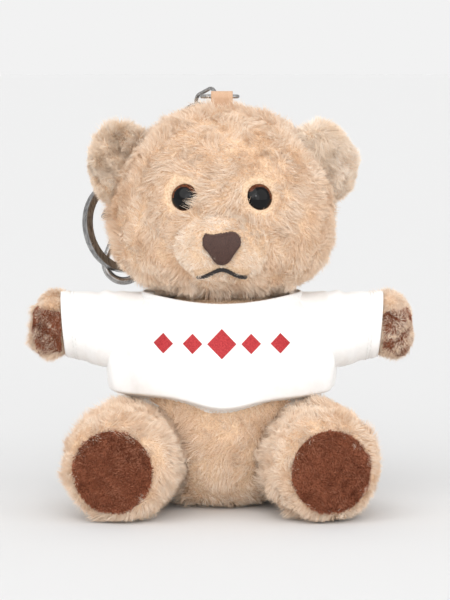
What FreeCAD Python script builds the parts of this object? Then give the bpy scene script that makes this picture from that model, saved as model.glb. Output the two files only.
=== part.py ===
# Plush bear keychain: a seated bear in a T-shirt, with a ribbon tab on its
# head, a chain of wire links, a trigger clasp and a split ring.
# Millimetres.  +Z is up, the bear faces -Y and its seat rests on z = 0.
# Names ending in _l are on the -X side, names ending in _r on the +X side.
import FreeCAD
import Part
import math
import os

V = FreeCAD.Vector
X_AXIS = V(1, 0, 0)
Y_AXIS = V(0, 1, 0)
Z_AXIS = V(0, 0, 1)

# ---- clearances -----------------------------------------------------------
SOFT_GAP = 0.35          # between soft pieces that move against each other
METAL_GAP = 0.12         # between linked wire pieces
RUN_GAP = 0.05           # radial running clearance of pins and posts

# ---- plush cloth ----------------------------------------------------------
SKIN = 1.3               # backing cloth of the pile fabric
KNIT = 0.9               # T-shirt cloth
PAD = 0.8                # short-pile patches on paws and feet
SEAM_POINTS = 7          # points along each rounded profile

# ---- head -----------------------------------------------------------------
HEAD_WIDTH = 56.8
HEAD_DEPTH = 47.6
HEAD_MID_Z = 74.0        # height of the widest part, the cheeks
HEAD_TOP_Z = 102.8
HEAD_LOW_Z = 54.4
HEAD_TOP_ROUND = 2.0
HEAD_LOW_ROUND = 2.7

# ---- muzzle, nose, mouth --------------------------------------------------
MUZZLE_WIDTH = 25.0
MUZZLE_HEIGHT = 19.0
MUZZLE_DEPTH = 18.0
MUZZLE_Z = 68.4
MUZZLE_TIP_Y = -28.2
NOSE_WIDTH = 9.6
NOSE_HEIGHT = 7.6
NOSE_THICK = 1.1
NOSE_TOP_Z = 71.6
MOUTH_WIDTH = 12.8
MOUTH_RISE = 2.2
MOUTH_Z = 62.6
MOUTH_THICK = 0.7
MOUTH_STROKE = 1.3

# ---- eyes -----------------------------------------------------------------
EYE_DIA = 7.2
EYE_DOME = 2.9
EYE_X = 9.9
EYE_Z = 80.8
EYE_SINK = 0.9
EYE_SHANK_DIA = 2.6
EYE_SHANK = 7.0
WASHER_DIA = 7.6
WASHER_THICK = 1.2

# ---- ears -----------------------------------------------------------------
EAR_WIDTH = 19.4
EAR_HEIGHT = 20.6
EAR_THICK = 7.6
EAR_X = 25.6
EAR_Y = 0.6
EAR_Z = 87.6
EAR_TURN = 22.0          # degrees the ear faces outwards

# ---- body -----------------------------------------------------------------
BODY_WIDTH = 51.0
BODY_DEPTH = 42.0
BODY_MID_Z = 21.0
BODY_TOP_Z = 56.5
BODY_ROUND_TOP = 2.9
BODY_ROUND_LOW = 2.3
SEAT_SINK = 1.2          # how much of the round underside is pressed flat

# ---- T-shirt --------------------------------------------------------------
HEM_FLARE = 2.6          # how far the hem stands off the body
SHOULDER_EASE = 0.3
HEM_BAND = 2.2
COLLAR_RADIUS = 17.0
COLLAR_BAND = 2.1
COLLAR_THICK = 1.9
COLLAR_Z = 54.55

# ---- arms -----------------------------------------------------------------
SHOULDER_INSET = 7.0     # from the widest part of the body in to the shoulder
SHOULDER_X = BODY_WIDTH / 2 - SHOULDER_INSET
SHOULDER_Z = 44.6
SHOULDER_BALL = 8.5      # radius of the sleeve's round shoulder
SLEEVE_REACH = 21.7      # from the shoulder out to the cuff
CUFF_X = SHOULDER_X + SLEEVE_REACH
CUFF_RADIUS = 8.1
PAW_REACH = 29.5         # from the shoulder out to the tip of the paw
PAW_X = SHOULDER_X + PAW_REACH
PAW_RADIUS = 7.9
ARM_RADIUS = 6.9
ARM_REST = 5.0           # degrees the arm is raised at rest
ARM_DROP = 10
ARM_RAISE = 14

# ---- legs -----------------------------------------------------------------
HIP_INSET = 3.9          # from the widest part of the body in to the hip
HIP_X = BODY_WIDTH / 2 - HIP_INSET
HIP_Y = -2.0
LEG_RADIUS = 13.5
THIGH_CLEAR = 0.2        # from the top of the thigh up to the hem
HEM_Z = 2 * LEG_RADIUS + THIGH_CLEAR
SIDE_RISE = 0.2          # straight cloth above the hem band
SIDE_Z = HEM_Z + HEM_BAND + SIDE_RISE
FOOT_RADIUS = 13.5
FOOT_SPREAD = 5.2        # how much further apart the feet are than the hips
FOOT_X = HIP_X + FOOT_SPREAD
FOOT_Y = -37.0
LEG_SPLAY = 10           # degrees the leg swings outwards
FOOT_PAD_WIDTH = 19.6
FOOT_PAD_HEIGHT = 20.6

# ---- ribbon tab -----------------------------------------------------------
TAB_WIDTH = 5.6
TAB_CLOTH = 0.7
TAB_DEPTH = 3.8
TAB_TOP_Z = 106.9
TAB_ROOT_Z = 97.5

# ---- chain ----------------------------------------------------------------
WIRE = 0.5               # wire radius of the links
LINK_BEND = 2.3          # centreline radius of a link's round end
LINK_STRAIGHT = 4.8
LINK_1_X = -0.6
LINK_2_X = -2.4
CHAIN_HEADING = 124.3    # degrees from +X, seen from above
CHAIN_PITCH = 17.6       # degrees below level where the chain leaves the tab
CHAIN_TURN = 14.0        # degrees each link leans over the last
LINK_COUNT = 5

# ---- clasp ----------------------------------------------------------------
CLASP_AXIS = V(0.377, 0.189, 0.906)
CLASP_FACING = 3.0       # degrees the clasp's flat face turns from -Y
HOOK_BEND = 4.9
HOOK_WIRE = 1.05
GATE_X = -4.9
GATE_PIVOT = 11.2
GATE_WIRE = 0.95
BLOCK_LOW = 9.4
BLOCK_TOP = 22.5
BLOCK_WAIST = 15.6
BLOCK_THICK = 4.0
CHEEK = 0.8
SLOT_DEPTH = 3.7
PIN_RADIUS = 0.5
POST_RADIUS = 0.95
POST_HEAD = 1.7
EYE_BEND = 2.6
EYE_WIRE = 0.7

# ---- split ring -----------------------------------------------------------
RING_RADIUS = 12.3       # outside
RING_BAND = 2.0          # radial width of the flat wire
RING_WIRE = 0.95         # axial thickness of the flat wire
RING_COIL_GAP = 0.08
RING_TURNS = 1.94
RING_FACING = 40.0       # degrees the ring turns from -Y
RING_LEAN = 8.0          # degrees the ring's centre leans from plumb
RING_TIP = 10.0          # degrees the ring's top leans back


# ---- general shapes -------------------------------------------------------
def side_sign(side):
    """-1 for the -X side, +1 for the +X side."""
    return -1 if side == "l" else 1


def unit(v):
    """The vector at length one."""
    return V(v).normalize()


def basis(origin, along, normal):
    """Placement whose Y runs along a direction and whose Z is near a normal."""
    y = unit(along)
    z = unit(normal - y * normal.dot(y))
    x = y.cross(z)
    m = FreeCAD.Matrix(
        x.x, y.x, z.x, origin.x,
        x.y, y.y, z.y, origin.y,
        x.z, y.z, z.z, origin.z,
        0, 0, 0, 1,
    )
    return FreeCAD.Placement(m)


def placed(shape, placement):
    """The shape moved by a placement."""
    out = shape.copy()
    out.Placement = placement.multiply(out.Placement)
    return out


def stretched(shape, x, y, z):
    """The shape scaled about the origin."""
    m = FreeCAD.Matrix()
    m.scale(x, y, z)
    return shape.transformGeometry(m)


def ellipsoid(width, depth, height, centre):
    """An ellipsoid of full sizes about a centre."""
    ball = Part.makeSphere(1)
    out = stretched(ball, width / 2, depth / 2, height / 2)
    out.translate(centre)
    return out


def round_profile(radius, mid, top, low, round_top, round_low):
    """Points of half a rounded outline, from the top to the bottom."""
    points = []
    for i in range(SEAM_POINTS + 1):
        a = math.pi / 2 * i / SEAM_POINTS
        r = radius * math.sin(a) ** (2 / round_top)
        z = mid + (top - mid) * math.cos(a) ** (2 / round_top)
        points.append(V(r, 0, z))
    for i in range(1, SEAM_POINTS + 1):
        a = math.pi / 2 * i / SEAM_POINTS
        r = radius * math.cos(a) ** (2 / round_low)
        z = mid + (low - mid) * math.sin(a) ** (2 / round_low)
        points.append(V(r, 0, z))
    points[0] = V(0, 0, top)
    points[-1] = V(0, 0, low)
    return points


def turned(points):
    """The solid turned from an outline that starts and ends on the Z axis."""
    curve = Part.BSplineCurve()
    curve.interpolate(
        Points=points,
        InitialTangent=V(1, 0, 0),
        FinalTangent=V(-1, 0, 0),
    )
    side = curve.toShape()
    core = Part.makeLine(points[-1], points[0])
    face = Part.Face(Part.Wire([side, core]))
    return face.revolve(V(0, 0, 0), Z_AXIS, 360)


def limb(outer, inner, turns, place):
    """A limb turned between two outlines; without an inner one it is solid."""
    edges = []
    for points in (outer, inner):
        if points:
            curve = Part.BSplineCurve()
            curve.interpolate(
                Points=points,
                InitialTangent=V(1, 0, 0),
                FinalTangent=V(-1, 0, 0),
            )
            edges.append(curve.toShape())
    if inner:
        edges.append(Part.makeLine(outer[0], inner[0]))
        edges.append(Part.makeLine(outer[-1], inner[-1]))
    else:
        edges.append(Part.makeLine(outer[0], outer[-1]))
    face = Part.Face(Part.Wire(Part.__sortEdges__(edges)))
    form = as_solid(face.revolve(V(0, 0, 0), Z_AXIS, 360))
    form.rotate(V(0, 0, 0), Z_AXIS, 90)
    for axis, angle in turns:
        form.rotate(V(0, 0, 0), axis, angle)
    form.translate(place)
    return form


def rounded(width, depth, mid, top, low, round_top, round_low):
    """A turned cushion, narrowed in depth."""
    body = turned(round_profile(width / 2, mid, top, low, round_top, round_low))
    body = as_solid(body)
    return stretched(body, 1, depth / width, 1)


def as_solid(shape):
    """The shape as one solid with its faces turned outwards."""
    if shape.ShapeType == "Shell":
        shape = Part.Solid(shape)
    if shape.Volume < 0:
        shape.reverse()
    return shape


def swung(shape, pivot, axis, low, high):
    """The shape at steps through its swing, as a list."""
    steps = 1
    out = []
    for i in range(steps + 1):
        moved = shape.copy()
        moved.rotate(pivot, axis, low + (high - low) * i / steps)
        out.append(moved)
    return out


def cut_all(shape, tools):
    """The shape less every tool."""
    for tool in tools:
        shape = shape.cut(tool)
    return biggest(shape)


def biggest(shape):
    """The largest solid of a shape."""
    return max(shape.Solids, key=lambda s: s.Volume)


def mirrored(shape):
    """The shape on the other side of the bear."""
    return shape.mirror(V(0, 0, 0), X_AXIS)


# ---- head -----------------------------------------------------------------
def head_form(inset):
    """The head's rounded form, drawn in by an inset."""
    return rounded(
        HEAD_WIDTH - 2 * inset,
        HEAD_DEPTH - 2 * inset,
        HEAD_MID_Z,
        HEAD_TOP_Z - inset,
        HEAD_LOW_Z + inset,
        HEAD_TOP_ROUND,
        HEAD_LOW_ROUND,
    )


def head_room():
    """The space above the neck seam, kept free for the head."""
    floor = V(0, 0, HEAD_LOW_Z - SOFT_GAP)
    return Part.makeCylinder(BODY_WIDTH, 40, floor)


def muzzle_form(grow):
    """The muzzle's rounded form, grown by an amount."""
    centre = V(0, MUZZLE_TIP_Y + MUZZLE_DEPTH / 2, MUZZLE_Z)
    return ellipsoid(
        MUZZLE_WIDTH + 2 * grow,
        MUZZLE_DEPTH + 2 * grow,
        MUZZLE_HEIGHT + 2 * grow,
        centre,
    )


def make_muzzle():
    """The padded muzzle panel on the front of the head."""
    return biggest(muzzle_form(0).cut(head_form(0)))


def rounded_triangle():
    """The nose outline, wide at the top, in the XZ plane."""
    w = NOSE_WIDTH / 2
    h = NOSE_HEIGHT
    points = [
        V(-w * 0.80, 0, 0),
        V(0, 0, h * 0.02),
        V(w * 0.80, 0, 0),
        V(w, 0, -h * 0.24),
        V(w * 0.62, 0, -h * 0.66),
        V(w * 0.24, 0, -h * 0.97),
        V(-w * 0.24, 0, -h * 0.97),
        V(-w * 0.62, 0, -h * 0.66),
        V(-w, 0, -h * 0.24),
    ]
    curve = Part.BSplineCurve()
    curve.interpolate(Points=points, PeriodicFlag=True)
    face = Part.Face(Part.Wire([curve.toShape()]))
    face.translate(V(0, 0, NOSE_TOP_Z))
    return face


def make_nose():
    """Felt nose following the muzzle."""
    face = rounded_triangle()
    face.translate(V(0, MUZZLE_TIP_Y - 3, 0))
    block = face.extrude(V(0, 12, 0))
    cap = block.common(muzzle_form(NOSE_THICK))
    return biggest(cap.cut(muzzle_form(0)).cut(head_form(0)))


def mouth_line(offset):
    """One edge of the mouth stitch, as a spline in the XZ plane."""
    w = MOUTH_WIDTH / 2
    taper = offset * 0.35
    points = [
        V(-w, 0, MOUTH_Z - MOUTH_RISE + taper),
        V(-w * 0.5, 0, MOUTH_Z - MOUTH_RISE * 0.62 + offset * 0.9),
        V(0, 0, MOUTH_Z + offset),
        V(w * 0.5, 0, MOUTH_Z - MOUTH_RISE * 0.62 + offset * 0.9),
        V(w, 0, MOUTH_Z - MOUTH_RISE + taper),
    ]
    curve = Part.BSplineCurve()
    curve.interpolate(Points=points)
    return curve.toShape()


def make_mouth():
    """Stitched mouth, a shallow arch of thread on the muzzle."""
    top = mouth_line(MOUTH_STROKE / 2)
    low = mouth_line(-MOUTH_STROKE / 2)
    ends = []
    for i in (0, 1):
        a = top.Vertexes[i].Point
        b = low.Vertexes[i].Point
        ends.append(Part.makeLine(a, b))
    face = Part.Face(Part.Wire(Part.__sortEdges__([top, low] + ends)))
    face.translate(V(0, MUZZLE_TIP_Y - 3, 0))
    block = face.extrude(V(0, 14, 0))
    cap = block.common(muzzle_form(MOUTH_THICK))
    return biggest(cap.cut(muzzle_form(0)).cut(head_form(0)))


# ---- eyes -----------------------------------------------------------------
def eye_seat(side):
    """Placement of an eye: Y points out of the head at the eye."""
    x = side_sign(side) * EYE_X
    rise = (EYE_Z - HEAD_MID_Z) / (HEAD_TOP_Z - HEAD_MID_Z)
    radius = HEAD_WIDTH / 2 * math.sqrt(1 - rise ** 2)
    y = -HEAD_DEPTH / HEAD_WIDTH * math.sqrt(radius ** 2 - x ** 2)
    out = V(
        x / (HEAD_WIDTH / 2) ** 2,
        y / (HEAD_DEPTH / 2) ** 2,
        rise / (HEAD_TOP_Z - HEAD_MID_Z),
    )
    return basis(V(x, y, EYE_Z), unit(out), Z_AXIS)


def eye_dome_local():
    """Domed lens on a flat back, domed towards +Y."""
    half = EYE_DIA / 2
    radius = (half ** 2 + EYE_DOME ** 2) / (2 * EYE_DOME)
    ball = Part.makeSphere(radius, V(0, EYE_DOME - radius - EYE_SINK, 0))
    room = Part.makeCylinder(half, EYE_DOME + 1, V(0, -EYE_SINK, 0), Y_AXIS)
    return ball.common(room)


def eye_shank_local(grow):
    """Shank behind the lens with its round end."""
    r = EYE_SHANK_DIA / 2 + grow
    start = V(0, -EYE_SINK, 0)
    return Part.makeCylinder(r, EYE_SHANK, start, V(0, -1, 0))


def washer_local():
    """Lock washer pressed on the shank inside the head."""
    start = V(0, -EYE_SINK - SKIN - 0.6, 0)
    disc = Part.makeCylinder(WASHER_DIA / 2, WASHER_THICK, start, V(0, -1, 0))
    return disc.cut(eye_shank_local(0))


def make_eye_lens(side):
    """Glossy domed lens."""
    return biggest(placed(eye_dome_local(), eye_seat(side)))


def make_eye_shank(side):
    """Moulded shank of the eye."""
    return biggest(placed(eye_shank_local(0), eye_seat(side)))


def make_eye_washer(side):
    """Lock washer of the eye."""
    return biggest(placed(washer_local(), eye_seat(side)))


def eye_tools():
    """Everything of the eyes that the head gives room to."""
    out = []
    for side in ("l", "r"):
        out.append(make_eye_lens(side))
        out.append(make_eye_shank(side))
        out.append(make_eye_washer(side))
    return out


# ---- ears -----------------------------------------------------------------
def make_ear(side):
    """Padded ear sewn into the side seam of the head."""
    ear = ellipsoid(EAR_WIDTH, EAR_THICK, EAR_HEIGHT, V(0, 0, 0))
    dish = ellipsoid(EAR_WIDTH * 0.62, EAR_THICK, EAR_HEIGHT * 0.66, V(0, 0, 0))
    dish.translate(V(0, -EAR_THICK * 0.72, -EAR_HEIGHT * 0.04))
    ear = ear.cut(dish)
    ear.rotate(V(0, 0, 0), Z_AXIS, side_sign(side) * EAR_TURN)
    ear.translate(V(side_sign(side) * EAR_X, EAR_Y, EAR_Z))
    return biggest(ear.cut(head_form(0)))


# ---- ribbon tab -----------------------------------------------------------
def tab_outline(inset):
    """Side outline of the ribbon loop, drawn in by an inset."""
    half = TAB_DEPTH / 2 - inset
    top = TAB_TOP_Z - TAB_DEPTH / 2
    box = Part.makeBox(
        TAB_WIDTH,
        2 * half,
        top - TAB_ROOT_Z,
        V(-TAB_WIDTH / 2, -half, TAB_ROOT_Z),
    )
    bow = Part.makeCylinder(half, TAB_WIDTH, V(-TAB_WIDTH / 2, 0, top), X_AXIS)
    return box.fuse(bow).removeSplitter()


def make_tab():
    """Ribbon folded into a loop, both ends sewn into the crown seam."""
    inner = tab_outline(TAB_CLOTH)
    foot = Part.makeBox(
        TAB_WIDTH * 2,
        TAB_DEPTH * 2,
        HEAD_TOP_Z - 1.8 - TAB_ROOT_Z,
        V(-TAB_WIDTH, -TAB_DEPTH, TAB_ROOT_Z),
    )
    return biggest(tab_outline(0).cut(inner.cut(foot)))


# ---- head assembly --------------------------------------------------------
def make_head_skin():
    """Pile fabric skin of the head."""
    skin = head_form(0).cut(head_form(SKIN))
    return cut_all(skin, eye_tools() + [tab_outline(0)])


def make_head_stuffing():
    """Fibre filling of the head."""
    fill = head_form(SKIN)
    return cut_all(fill, eye_tools() + [tab_outline(0)])


# ---- body -----------------------------------------------------------------
def body_form(grow, low_grow):
    """The body's rounded form, grown by an amount."""
    return rounded(
        BODY_WIDTH + 2 * grow,
        BODY_DEPTH + 2 * grow,
        BODY_MID_Z,
        BODY_TOP_Z + grow,
        -SEAT_SINK - low_grow,
        BODY_ROUND_TOP,
        BODY_ROUND_LOW,
    )


def above(shape, z):
    """The part of a shape above a height."""
    low = shape.BoundBox.ZMin - 5
    slab = Part.makeBox(400, 400, z - low, V(-200, -200, low))
    return shape.cut(slab)


def moving_room():
    """Space that the head, arms and legs need through their travel."""
    out = [head_room()]
    for side in ("l", "r"):
        out += arm_room(side)
        out += leg_room(side)
    return out


def make_body_skin(room):
    """Pile fabric skin of the body."""
    inner = above(body_form(-SKIN, -SKIN), SKIN)
    skin = above(body_form(0, 0), 0).cut(inner)
    return cut_all(skin, room)


def make_body_stuffing(room):
    """Fibre filling of the body."""
    fill = above(body_form(-SKIN, -SKIN), SKIN)
    return cut_all(fill, room)


# ---- T-shirt --------------------------------------------------------------
def shirt_height(radius, inset):
    """Height of the shirt's surface at a radius."""
    wide = BODY_WIDTH / 2 + HEM_FLARE + KNIT - inset
    top = BODY_TOP_Z + SHOULDER_EASE + KNIT - inset
    drop = 1 - (radius / wide) ** BODY_ROUND_TOP
    return SIDE_Z + (top - SIDE_Z) * max(drop, 0) ** (1 / BODY_ROUND_TOP)


def shirt_line(inset):
    """Side outline of the shirt: neckband edge, shoulder and straight side."""
    wide = BODY_WIDTH / 2 + HEM_FLARE + KNIT - inset
    edge = COLLAR_RADIUS + COLLAR_THICK / 2
    middle = (wide + edge) / 2 + 1.4
    points = []
    for radius in (edge, middle, wide):
        points.append(V(radius, 0, shirt_height(radius, inset)))
    return points


def shirt_shell(outset, inset, low):
    """Cloth between two offsets of the shirt, down to a height."""
    outer = shirt_line(outset)
    inner = shirt_line(inset)
    edges = []
    for points in (outer, inner):
        edges.append(Part.Arc(*points).toShape())
        edges.append(Part.makeLine(points[-1], V(points[-1].x, 0, low)))
    edges.append(Part.makeLine(outer[0], inner[0]))
    edges.append(Part.makeLine(V(outer[-1].x, 0, low), V(inner[-1].x, 0, low)))
    face = Part.Face(Part.Wire(Part.__sortEdges__(edges)))
    return flattened(as_solid(face.revolve(V(0, 0, 0), Z_AXIS, 360)))


def flattened(shape):
    """A turned piece of the shirt, narrowed in depth with the body."""
    flare = HEM_FLARE + KNIT
    return stretched(shape, 1, (BODY_DEPTH + 2 * flare) / (BODY_WIDTH + 2 * flare), 1)


def arm_rooms():
    """Space the shirt leaves for both arms."""
    return arm_room("l") + arm_room("r")


def make_shirt_body():
    """Body of the T-shirt, hanging from the bear's shoulders."""
    return cut_all(shirt_shell(0, KNIT, HEM_Z + HEM_BAND), arm_rooms())


def make_shirt_hem():
    """Folded hem round the bottom of the shirt."""
    wide = BODY_WIDTH / 2 + HEM_FLARE + KNIT
    band = Part.makeCylinder(wide, HEM_BAND, V(0, 0, HEM_Z))
    hole = Part.makeCylinder(wide - 2 * KNIT, HEM_BAND, V(0, 0, HEM_Z))
    return biggest(flattened(band.cut(hole)))


def make_collar():
    """Ribbed neckband of the shirt."""
    half = COLLAR_THICK / 2
    low = V(0, 0, COLLAR_Z - COLLAR_BAND / 2)
    band = Part.makeCylinder(COLLAR_RADIUS + half, COLLAR_BAND, low)
    hole = Part.makeCylinder(COLLAR_RADIUS - half, COLLAR_BAND, low)
    band = band.cut(hole)
    rims = [e for e in band.Edges if len(e.Vertexes) == 1]
    band = band.makeFillet(half * 0.6, rims)
    return biggest(flattened(band))


# ---- arms -----------------------------------------------------------------
def arm_profile(grow):
    """Half outline of the arm along its own axis, from shoulder to paw."""
    ball = SHOULDER_BALL - KNIT + grow
    reach = CUFF_X - SHOULDER_X
    tip = PAW_X - SHOULDER_X + grow
    paw = PAW_RADIUS + grow
    arm = ARM_RADIUS + grow
    points = [
        V(0, 0, -ball),
        V(ball * 0.55, 0, -ball * 0.835),
        V(ball * 0.92, 0, -ball * 0.392),
        V(ball, 0, 0),
        V(ball * 0.93, 0, ball * 0.42),
        V(arm + 0.9, 0, reach * 0.62),
        V(arm, 0, reach - 1.0),
        V(paw - 0.25, 0, reach + 2.2),
        V(paw, 0, tip - 3.6),
        V(paw * 0.80, 0, tip - 1.1),
        V(paw * 0.42, 0, tip - 0.2),
        V(0, 0, tip),
    ]
    return points


def arm_form(side, grow, hollow=None):
    """The arm's form along X, solid or hollowed to an inner outline."""
    inner = arm_profile(hollow) if hollow is not None else None
    turns = [(Y_AXIS, side_sign(side) * (90 - ARM_REST))]
    return limb(arm_profile(grow), inner, turns, shoulder(side))


def shoulder(side):
    """Centre of the shoulder."""
    return V(side_sign(side) * SHOULDER_X, 0, SHOULDER_Z)


def sleeve_form(side):
    """Outside of the sleeve: a round shoulder drawn down to the cuff."""
    reach = CUFF_X - SHOULDER_X
    start = SHOULDER_BALL * 0.44
    wide = math.sqrt(SHOULDER_BALL ** 2 - start ** 2)
    cone = Part.makeCone(wide, CUFF_RADIUS, reach - start, V(0, 0, start))
    ball = Part.makeSphere(SHOULDER_BALL)
    form = cone.fuse(ball).removeSplitter()
    form.rotate(V(0, 0, 0), Y_AXIS, side_sign(side) * (90 - ARM_REST))
    form.translate(shoulder(side))
    return form


def arm_room(side):
    """Space swept by the arm and sleeve: a ball and a widening cone."""
    r = SHOULDER_BALL + SOFT_GAP
    reach = CUFF_X - SHOULDER_X
    wide = CUFF_RADIUS + reach * math.sin(math.radians(ARM_RAISE))
    way = X_AXIS * side_sign(side)
    ball = Part.makeSphere(r, shoulder(side))
    cone = Part.makeCone(r - 0.01, wide, reach, shoulder(side), way)
    return [ball, cone]


def make_arm_skin(side):
    """Pile fabric skin of the arm."""
    return arm_form(side, 0, -SKIN)


def make_arm_stuffing(side):
    """Fibre filling of the arm."""
    return arm_form(side, -SKIN)


def make_sleeve(side):
    """Sleeve of the T-shirt, over the arm from shoulder to cuff."""
    sign = side_sign(side)
    form = sleeve_form(side).cut(arm_form(side, 0))
    inside = Part.makeBox(40, 60, 60, V(-20, -30, SHOULDER_Z - 30))
    inside.translate(V(sign * (SHOULDER_X - 19.0), 0, 0))
    return biggest(form.cut(inside))


def make_paw_pad(side):
    """Short-pile patch on the front and end of the paw."""
    sign = side_sign(side)
    reach = PAW_X - 6.0
    rise = (reach - SHOULDER_X) * math.sin(math.radians(ARM_REST))
    centre = V(sign * reach, 0, SHOULDER_Z + rise)
    way = unit(V(sign * 0.50, -0.78, -0.40))
    stamp = Part.makeCylinder(PAW_RADIUS * 0.86, 30, centre, way)
    past_cuff = Part.makeBox(20, 40, 40, V(-20, -20, SHOULDER_Z - 20))
    past_cuff.translate(V(sign * (CUFF_X + 1.0) + 10 * (sign - 1) + 20, 0, 0))
    return biggest(stamp.common(arm_form(side, PAD, RUN_GAP)).common(past_cuff))


# ---- legs -----------------------------------------------------------------
def hip(side):
    """Centre of the hip."""
    return V(side_sign(side) * HIP_X, HIP_Y, LEG_RADIUS)


def leg_profile(grow):
    """Half outline of the leg along its own axis, from hip to sole."""
    length = math.hypot(FOOT_X - HIP_X, FOOT_Y - HIP_Y) + grow
    r = LEG_RADIUS + grow
    foot = FOOT_RADIUS + grow
    return [
        V(0, 0, -r),
        V(r * 0.55, 0, -r * 0.835),
        V(r * 0.92, 0, -r * 0.392),
        V(r, 0, 0),
        V(r, 0, length * 0.38),
        V(foot, 0, length - 9.0),
        V(foot * 0.955, 0, length - 4.6),
        V(foot * 0.79, 0, length - 1.5),
        V(foot * 0.45, 0, length - 0.3),
        V(0, 0, length),
    ]


def leg_form(side, grow, hollow=None):
    """The leg's form from the hip forward, solid or hollowed."""
    inner = leg_profile(hollow) if hollow is not None else None
    splay = math.degrees(math.atan2(FOOT_X - HIP_X, HIP_Y - FOOT_Y))
    turns = [(X_AXIS, 90), (Z_AXIS, side_sign(side) * splay)]
    return limb(leg_profile(grow), inner, turns, hip(side))


def leg_room(side):
    """Space swept by the leg as it splays: a ball and two cylinders."""
    r = LEG_RADIUS + SOFT_GAP
    sign = side_sign(side)
    way = V(sign * (FOOT_X - HIP_X), FOOT_Y - HIP_Y, 0)
    ball = Part.makeSphere(r, hip(side))
    tube = Part.makeCylinder(r - 0.01, way.Length, hip(side), way)
    return [ball] + swung(tube, hip(side), Z_AXIS * sign, 0, LEG_SPLAY)


def make_leg_skin(side):
    """Pile fabric skin of the leg."""
    return leg_form(side, 0, -SKIN)


def make_leg_stuffing(side):
    """Fibre filling of the leg."""
    return leg_form(side, -SKIN)


def make_foot_pad(side):
    """Short-pile patch on the sole."""
    sign = side_sign(side)
    grown = leg_form(side, PAD, 0)
    stamp = Part.makeCylinder(1, 30, V(0, 0, 0), V(0, -1, 0))
    stamp = stretched(stamp, FOOT_PAD_WIDTH / 2, 1, FOOT_PAD_HEIGHT / 2)
    stamp.translate(V(sign * (FOOT_X + 0.3), FOOT_Y + 8, LEG_RADIUS - 0.6))
    return biggest(grown.common(stamp))


# ---- shirt print ----------------------------------------------------------
PRINT_Z = 43.5           # middle of the printed motif
PRINT_THICK = 0.25
PRINT_STEP = 7.4
PRINT_SIZE = 2.5
PRINT_COUNT = 5


def diamond(x, size):
    """A diamond prism through the front of the shirt."""
    points = [
        V(x - size, 0, PRINT_Z),
        V(x, 0, PRINT_Z + size),
        V(x + size, 0, PRINT_Z),
        V(x, 0, PRINT_Z - size),
        V(x - size, 0, PRINT_Z),
    ]
    face = Part.Face(Part.makePolygon(points))
    face.translate(V(0, -60, 0))
    return face.extrude(V(0, 55, 0))


def make_print():
    """Printed row of plain diamonds, a thin layer of ink on the shirt."""
    layer = shirt_shell(-PRINT_THICK, 0, SIDE_Z - 3)
    marks = []
    for i in range(PRINT_COUNT):
        x = (i - (PRINT_COUNT - 1) / 2) * PRINT_STEP
        size = PRINT_SIZE * (1.5 if i == PRINT_COUNT // 2 else 1.0)
        marks.append(biggest(layer.common(diamond(x, size))))
    return Part.makeCompound(marks)


# ---- chain ----------------------------------------------------------------
LINK_SPAN = LINK_STRAIGHT + 2 * LINK_BEND
LINK_BITE = 2 * WIRE + METAL_GAP


def link_local():
    """Oval wire link along +Y, its near end's wire centred on the origin."""
    half = LINK_BEND
    near = Part.makeTorus(half, WIRE, V(0, 0, 0), Z_AXIS, -180, 180, 180)
    far = near.copy()
    near.rotate(V(0, 0, 0), Z_AXIS, 180)
    near.translate(V(0, half, 0))
    far.translate(V(0, LINK_SPAN - half, 0))
    out = near.fuse(far)
    for x in (-half, half):
        bar = Part.makeCylinder(WIRE, LINK_STRAIGHT, V(x, half, 0), Y_AXIS)
        out = out.fuse(bar)
    return as_solid(biggest(out.removeSplitter()))


def tunnel_point():
    """Centre of the first link's wire inside the ribbon loop."""
    return V(0, 0, TAB_TOP_Z - TAB_CLOTH - METAL_GAP * 2 - WIRE)


def chain_side():
    """Level direction across the chain, the line its links swing about."""
    a = math.radians(CHAIN_HEADING)
    return V(math.sin(a), -math.cos(a), 0)


def chain_dir(k):
    """Direction of link k as the chain bends down behind the head."""
    a = math.radians(CHAIN_HEADING)
    p = math.radians(CHAIN_PITCH + CHAIN_TURN * (k - 2))
    return V(math.cos(a) * math.cos(p), math.sin(a) * math.cos(p), -math.sin(p))


def link_slack(k):
    """Extra play of the link that crosses the first one at a slant."""
    return 2 * METAL_GAP if k == 2 else 0


def chain_pivots():
    """Hinge points: the tab's, then one before each following piece."""
    first = tunnel_point()
    second = V(LINK_2_X, 2 * LINK_BEND, first.z)
    pivots = [first, second]
    at = second
    for k in range(2, LINK_COUNT + 1):
        upright = k % 2 == 0
        step = LINK_SPAN - (2 * LINK_BITE if upright else 0)
        step -= link_slack(k)
        at = at + chain_dir(k) * step
        pivots.append(at)
    return pivots


def make_link(k):
    """Link k of the chain; the first lies flat through the ribbon tab."""
    pivots = chain_pivots()
    if k == 1:
        middle = V(LINK_1_X, LINK_BEND, pivots[0].z)
        start = middle - X_AXIS * (LINK_SPAN / 2)
        return placed(link_local(), basis(start, X_AXIS, Z_AXIS))
    along = chain_dir(k)
    side = chain_side()
    upright = k % 2 == 0
    normal = side if upright else side.cross(along)
    start = pivots[k - 1]
    if upright:
        start = start - along * (LINK_BITE + link_slack(k))
    return placed(link_local(), basis(start, along, normal))


# ---- clasp ----------------------------------------------------------------
EYE_LIFT = EYE_BEND - EYE_WIRE - WIRE - 3 * METAL_GAP
EYE_CENTRE = BLOCK_TOP + 0.6 + EYE_BEND


def clasp_placement():
    """Placement of the clasp: Y along it, Z out of its flat face."""
    top = chain_pivots()[LINK_COUNT]
    axis = unit(CLASP_AXIS)
    origin = top - axis * (EYE_CENTRE + EYE_LIFT)
    a = math.radians(CLASP_FACING)
    return basis(origin, axis, V(math.sin(a), -math.cos(a), 0))


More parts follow.
